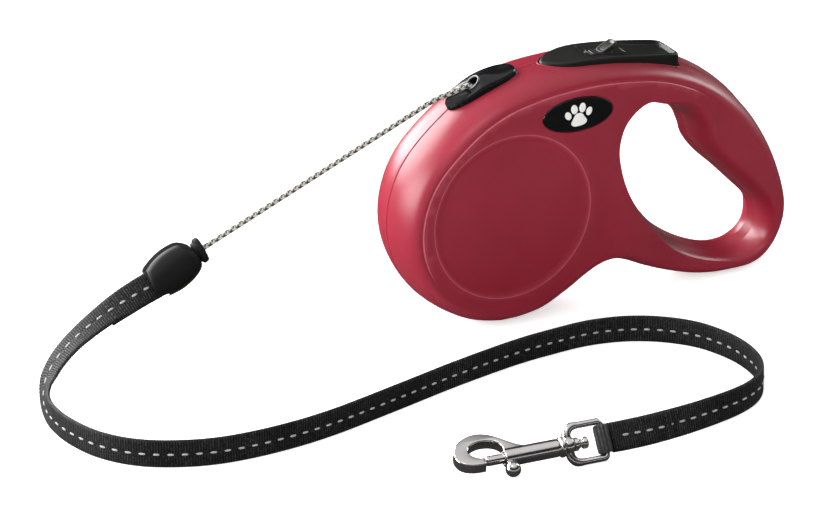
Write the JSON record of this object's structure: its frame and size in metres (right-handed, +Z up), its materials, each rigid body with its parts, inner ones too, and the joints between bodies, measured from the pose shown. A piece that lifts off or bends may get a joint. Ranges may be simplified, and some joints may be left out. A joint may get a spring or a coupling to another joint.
{
  "type": "retractable leash",
  "caption": "Retractable cord leash: rounded two-part casing with a finger-hole handle, brake button, end bobbin, stitched webbing and a swivelling bolt snap.",
  "frame": {"origin": "on the floor under the spool axle, on the casing's mid plane between its two halves", "axes": "+Z up, -X to the front where the cord leaves, +X to the handle, Y along the spool axle"},
  "size_m": [0.2962, 0.1404, 0.0972],
  "materials": {
    "casing_plastic": "satin moulded ABS, crimson",
    "black_plastic": "satin black moulding",
    "badge_gloss": "polished black",
    "slider_plastic": "dark grey moulding",
    "spool_plastic": "natural acetal",
    "steel": "zinc plated",
    "spring_steel": "oiled spring steel",
    "nickel": "bright nickel plate",
    "brass": "plain",
    "cord": "round braid, off-white with a black tracer",
    "webbing": "ribbed nylon with a pale centre stitch"
  },
  "bodies": {
    "casing": {"casing_left": "casing_plastic", "casing_right": "casing_plastic", "casing_screw_1": "steel", "casing_screw_2": "steel", "casing_screw_3": "steel", "casing_screw_4": "steel", "badge_left": "badge_gloss", "badge_right": "badge_gloss", "cord_guide": "black_plastic", "cord_eyelet": "nickel", "spool_axle": "steel", "axle_washer_left": "steel", "axle_washer_right": "steel", "spring_arbor": "steel", "brake_pivot_pin": "steel", "brake_return_spring": "spring_steel"},
    "spool": {"spool_drum": "spool_plastic", "ratchet_ring": "steel", "spring_cover": "spool_plastic", "mainspring": "spring_steel", "cord_windings": "cord"},
    "brake": {"brake_button": "black_plastic", "brake_lever": "black_plastic"},
    "lock": {"lock_slider": "slider_plastic"},
    "leash_end": {"bobbin_front": "black_plastic", "bobbin_back": "black_plastic", "bobbin_collar": "black_plastic", "cord_ferrule": "brass", "bobbin_pin": "steel", "webbing_strap": "webbing", "cord_run": "cord"},
    "eye": {"swivel_eye": "nickel"},
    "snap": {"snap_body": "nickel", "swivel_stud": "nickel", "bolt_spring": "spring_steel"},
    "bolt": {"snap_bolt": "nickel", "thumb_knob": "nickel"}
  },
  "joints": [
    {"name": "cord_payout", "type": "slide", "parent": "casing", "child": "leash_end", "axis": [0.9143, 0, 0.405], "range_m": [0, 0.08325], "deforming": ["cord_run"]},
    {"name": "spool_spin", "type": "hinge", "parent": "casing", "child": "spool", "pos_m": [0, 0, 0.0433], "axis": [0, 1, 0], "range_deg": [0, 181]},
    {"name": "brake_press", "type": "hinge", "parent": "casing", "child": "brake", "pos_m": [0.024, 0, 0.0865], "axis": [0, 1, 0], "range_deg": [0, 5.5], "deforming": ["brake_return_spring"]},
    {"name": "lock_slide", "type": "slide", "parent": "brake", "child": "lock", "axis": [0.9978, 0, -0.0669], "range_m": [0, 0.004]},
    {"name": "eye_hinge", "type": "hinge", "parent": "leash_end", "child": "eye", "pos_m": [-0.0186, -0.1183, 0.0062], "axis": [0.043, 0.596, 0.8018], "range_deg": [-40, 40]},
    {"name": "snap_swivel", "type": "hinge", "parent": "eye", "child": "snap", "pos_m": [-0.0186, -0.1183, 0.0062], "axis": [-0.9941, 0.1054, -0.0251], "continuous": true},
    {"name": "bolt_slide", "type": "slide", "parent": "snap", "child": "bolt", "axis": [0.9941, -0.1054, 0.0251], "range_m": [0, 0.0055], "deforming": ["bolt_spring"]}
  ],
  "couplings": [
    {"joint": "spool_spin", "follows": "cord_payout", "rad_per_m": 37.736}
  ]
}
